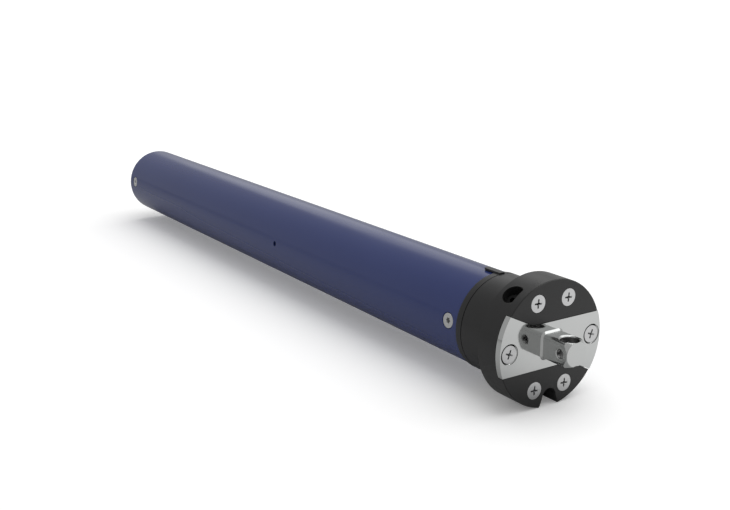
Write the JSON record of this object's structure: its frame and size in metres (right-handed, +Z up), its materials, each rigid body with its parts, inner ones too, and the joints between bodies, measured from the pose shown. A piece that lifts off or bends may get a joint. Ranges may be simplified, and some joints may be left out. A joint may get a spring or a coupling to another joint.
{
  "type": "tubular roller blind motor",
  "caption": "Tubular roller blind motor with a flanged head, square stud, turning crown, limit counter, brake and planetary gearbox driving a hexagonal output shaft.",
  "frame": {"origin": "on the tube's axis, in the plane of the head's front face, at the stud's root", "axes": "+X along the tube's axis out of the head, +Z up with the cable notch at the bottom, +Y completes the right-handed frame"},
  "size_m": [0.6263, 0.0766, 0.0759],
  "materials": {
    "black_nylon": "satin moulded",
    "polished_plate": "polished",
    "zinc_screws": "zinc plated",
    "blue_paint": "satin paint",
    "socket_plastic": "moulded",
    "gilt_contacts": "gilt",
    "adjuster_steel": "blackened",
    "grey_nylon": "moulded",
    "natural_acetal": "moulded",
    "red_acetal": "moulded",
    "green_acetal": "moulded",
    "bright_steel": "ground",
    "spring_steel": "blackened",
    "fibreglass": "solder mask",
    "capacitor_case": "moulded",
    "cast_aluminium": "as cast",
    "laminations": "stacked sheet",
    "copper_wire": "enamelled wire",
    "bronze": "sintered",
    "friction_lining": "pressed lining",
    "gear_steel": "machined"
  },
  "bodies": {
    "housing": {"head_cover": "black_nylon", "head_body": "black_nylon", "mounting_plate": "polished_plate", "plate_screws": "zinc_screws", "cover_screws": "zinc_screws", "cable_socket": "socket_plastic", "socket_pins": "gilt_contacts", "tube_hub": "grey_nylon", "hub_screws": "zinc_screws", "motor_tube": "blue_paint", "tube_screws": "zinc_screws", "gearbox_screws": "zinc_screws", "limit_frame": "natural_acetal", "limit_posts": "bright_steel", "limit_switches": "socket_plastic", "electrics_tray": "grey_nylon", "wiring_board": "fibreglass", "board_parts": "socket_plastic", "capacitor": "capacitor_case", "front_bell": "cast_aluminium", "rear_bell": "cast_aluminium", "stator_core": "laminations", "stator_windings": "copper_wire", "rotor_bushes": "bronze", "brake_yoke": "laminations", "brake_coil": "copper_wire", "brake_springs": "bright_steel", "brake_bolts": "zinc_screws", "gearbox_cover": "cast_aluminium", "ring_gear": "gear_steel", "end_cap": "black_nylon", "output_bush": "bronze"},
    "adjuster_up": {"limit_screw_up": "adjuster_steel"},
    "adjuster_down": {"limit_screw_down": "adjuster_steel"},
    "crown": {"crown_ring": "black_nylon"},
    "counter_pinion": {"limit_pinion": "natural_acetal"},
    "counter_wheel_1": {"count_wheel_1": "natural_acetal"},
    "counter_wheel_2": {"count_wheel_2": "red_acetal"},
    "counter_wheel_3": {"count_wheel_3": "natural_acetal"},
    "cams": {"cam_drum": "green_acetal"},
    "plunger_up": {"switch_plunger_up": "red_acetal"},
    "plunger_down": {"switch_plunger_down": "red_acetal"},
    "motor_rotor": {"rotor": "bright_steel", "sun_gear": "bright_steel", "brake_disc": "friction_lining"},
    "pressure_plate": {"brake_plate": "bright_steel"},
    "first_carrier": {"carrier_1": "bright_steel"},
    "second_carrier": {"carrier_2": "bright_steel"},
    "output": {"output_carrier": "bright_steel", "output_clip": "spring_steel"},
    "planet_1a": {"planet_1a": "gear_steel"},
    "planet_1b": {"planet_1b": "gear_steel"},
    "planet_1c": {"planet_1c": "gear_steel"},
    "planet_2a": {"planet_2a": "gear_steel"},
    "planet_2b": {"planet_2b": "gear_steel"},
    "planet_2c": {"planet_2c": "gear_steel"},
    "planet_3a": {"planet_3a": "gear_steel"},
    "planet_3b": {"planet_3b": "gear_steel"},
    "planet_3c": {"planet_3c": "gear_steel"}
  },
  "joints": [
    {"name": "adjuster_up_turn", "type": "hinge", "parent": "housing", "child": "adjuster_up", "pos_m": [-0.00965, -0.01812, 0.02238], "axis": [0, -0.6293, 0.7771], "continuous": true},
    {"name": "adjuster_down_turn", "type": "hinge", "parent": "housing", "child": "adjuster_down", "pos_m": [-0.00965, 0.01812, 0.02238], "axis": [0, 0.6293, 0.7771], "continuous": true},
    {"name": "crown_turn", "type": "hinge", "parent": "housing", "child": "crown", "pos_m": [-0.046, 0, 0], "axis": [1, 0, 0], "continuous": true},
    {"name": "counter_pinion_turn", "type": "hinge", "parent": "housing", "child": "counter_pinion", "pos_m": [-0.06, 0, 0.018], "axis": [1, 0, 0], "continuous": true},
    {"name": "counter_wheel_1_turn", "type": "hinge", "parent": "housing", "child": "counter_wheel_1", "pos_m": [-0.0783, 0, 0], "axis": [1, 0, 0], "continuous": true},
    {"name": "counter_wheel_2_turn", "type": "hinge", "parent": "housing", "child": "counter_wheel_2", "pos_m": [-0.0823, 0, -0.012], "axis": [1, 0, 0], "continuous": true},
    {"name": "counter_wheel_3_turn", "type": "hinge", "parent": "housing", "child": "counter_wheel_3", "pos_m": [-0.0863, 0, 0], "axis": [1, 0, 0], "continuous": true},
    {"name": "cams_turn", "type": "hinge", "parent": "housing", "child": "cams", "pos_m": [-0.098, 0, -0.012], "axis": [1, 0, 0], "continuous": true},
    {"name": "plunger_up_press", "type": "slide", "parent": "housing", "child": "plunger_up", "axis": [0, 1, 0], "range_m": [0, 0.0008], "stiffness_N_per_m": 400, "springref_m": -0.0005},
    {"name": "plunger_down_press", "type": "slide", "parent": "housing", "child": "plunger_down", "axis": [0, -1, 0], "range_m": [0, 0.0008], "stiffness_N_per_m": 400, "springref_m": -0.0005},
    {"name": "brake_release", "type": "slide", "parent": "housing", "child": "pressure_plate", "axis": [1, 0, 0], "range_m": [0, 0.0005], "stiffness_N_per_m": 3000, "springref_m": -0.002},
    {"name": "output_turn", "type": "hinge", "parent": "housing", "child": "output", "pos_m": [-0.5823, 0, 0], "axis": [1, 0, 0], "continuous": true},
    {"name": "second_carrier_turn", "type": "hinge", "parent": "housing", "child": "second_carrier", "pos_m": [-0.533, 0, 0], "axis": [1, 0, 0], "continuous": true},
    {"name": "first_carrier_turn", "type": "hinge", "parent": "housing", "child": "first_carrier", "pos_m": [-0.517, 0, 0], "axis": [1, 0, 0], "continuous": true},
    {"name": "rotor_turn", "type": "hinge", "parent": "housing", "child": "motor_rotor", "pos_m": [-0.383, 0, 0], "axis": [1, 0, 0], "continuous": true},
    {"name": "planet_1a_turn", "type": "hinge", "parent": "first_carrier", "child": "planet_1a", "pos_m": [-0.51, 0, 0.01485], "axis": [1, 0, 0], "continuous": true},
    {"name": "planet_1b_turn", "type": "hinge", "parent": "first_carrier", "child": "planet_1b", "pos_m": [-0.51, -0.01286, -0.00743], "axis": [1, 0, 0], "continuous": true},
    {"name": "planet_1c_turn", "type": "hinge", "parent": "first_carrier", "child": "planet_1c", "pos_m": [-0.51, 0.01286, -0.00743], "axis": [1, 0, 0], "continuous": true},
    {"name": "planet_2a_turn", "type": "hinge", "parent": "second_carrier", "child": "planet_2a", "pos_m": [-0.525, 0, 0.01485], "axis": [1, 0, 0], "continuous": true},
    {"name": "planet_2b_turn", "type": "hinge", "parent": "second_carrier", "child": "planet_2b", "pos_m": [-0.525, -0.01286, -0.00743], "axis": [1, 0, 0], "continuous": true},
    {"name": "planet_2c_turn", "type": "hinge", "parent": "second_carrier", "child": "planet_2c", "pos_m": [-0.525, 0.01286, -0.00743], "axis": [1, 0, 0], "continuous": true},
    {"name": "planet_3a_turn", "type": "hinge", "parent": "output", "child": "planet_3a", "pos_m": [-0.544, 0, 0.01485], "axis": [1, 0, 0], "continuous": true},
    {"name": "planet_3b_turn", "type": "hinge", "parent": "output", "child": "planet_3b", "pos_m": [-0.544, -0.01286, -0.00743], "axis": [1, 0, 0], "continuous": true},
    {"name": "planet_3c_turn", "type": "hinge", "parent": "output", "child": "planet_3c", "pos_m": [-0.544, 0.01286, -0.00743], "axis": [1, 0, 0], "continuous": true}
  ],
  "couplings": [
    {"joint": "counter_pinion_turn", "follows": "crown_turn", "ratio": 3.5},
    {"joint": "counter_wheel_1_turn", "follows": "crown_turn", "ratio": -0.875},
    {"joint": "counter_wheel_2_turn", "follows": "crown_turn", "ratio": 0.29167},
    {"joint": "counter_wheel_3_turn", "follows": "crown_turn", "ratio": -0.097222},
    {"joint": "cams_turn", "follows": "crown_turn", "ratio": 0.032407},
    {"joint": "second_carrier_turn", "follows": "output_turn", "ratio": 5.5},
    {"joint": "first_carrier_turn", "follows": "output_turn", "ratio": 30.25},
    {"joint": "rotor_turn", "follows": "output_turn", "ratio": 166.38},
    {"joint": "planet_1a_turn", "follows": "output_turn", "ratio": -77.786},
    {"joint": "planet_1b_turn", "follows": "output_turn", "ratio": -77.786},
    {"joint": "planet_1c_turn", "follows": "output_turn", "ratio": -77.786},
    {"joint": "planet_2a_turn", "follows": "output_turn", "ratio": -14.143},
    {"joint": "planet_2b_turn", "follows": "output_turn", "ratio": -14.143},
    {"joint": "planet_2c_turn", "follows": "output_turn", "ratio": -14.143},
    {"joint": "planet_3a_turn", "follows": "output_turn", "ratio": -2.5714},
    {"joint": "planet_3b_turn", "follows": "output_turn", "ratio": -2.5714},
    {"joint": "planet_3c_turn", "follows": "output_turn", "ratio": -2.5714}
  ]
}
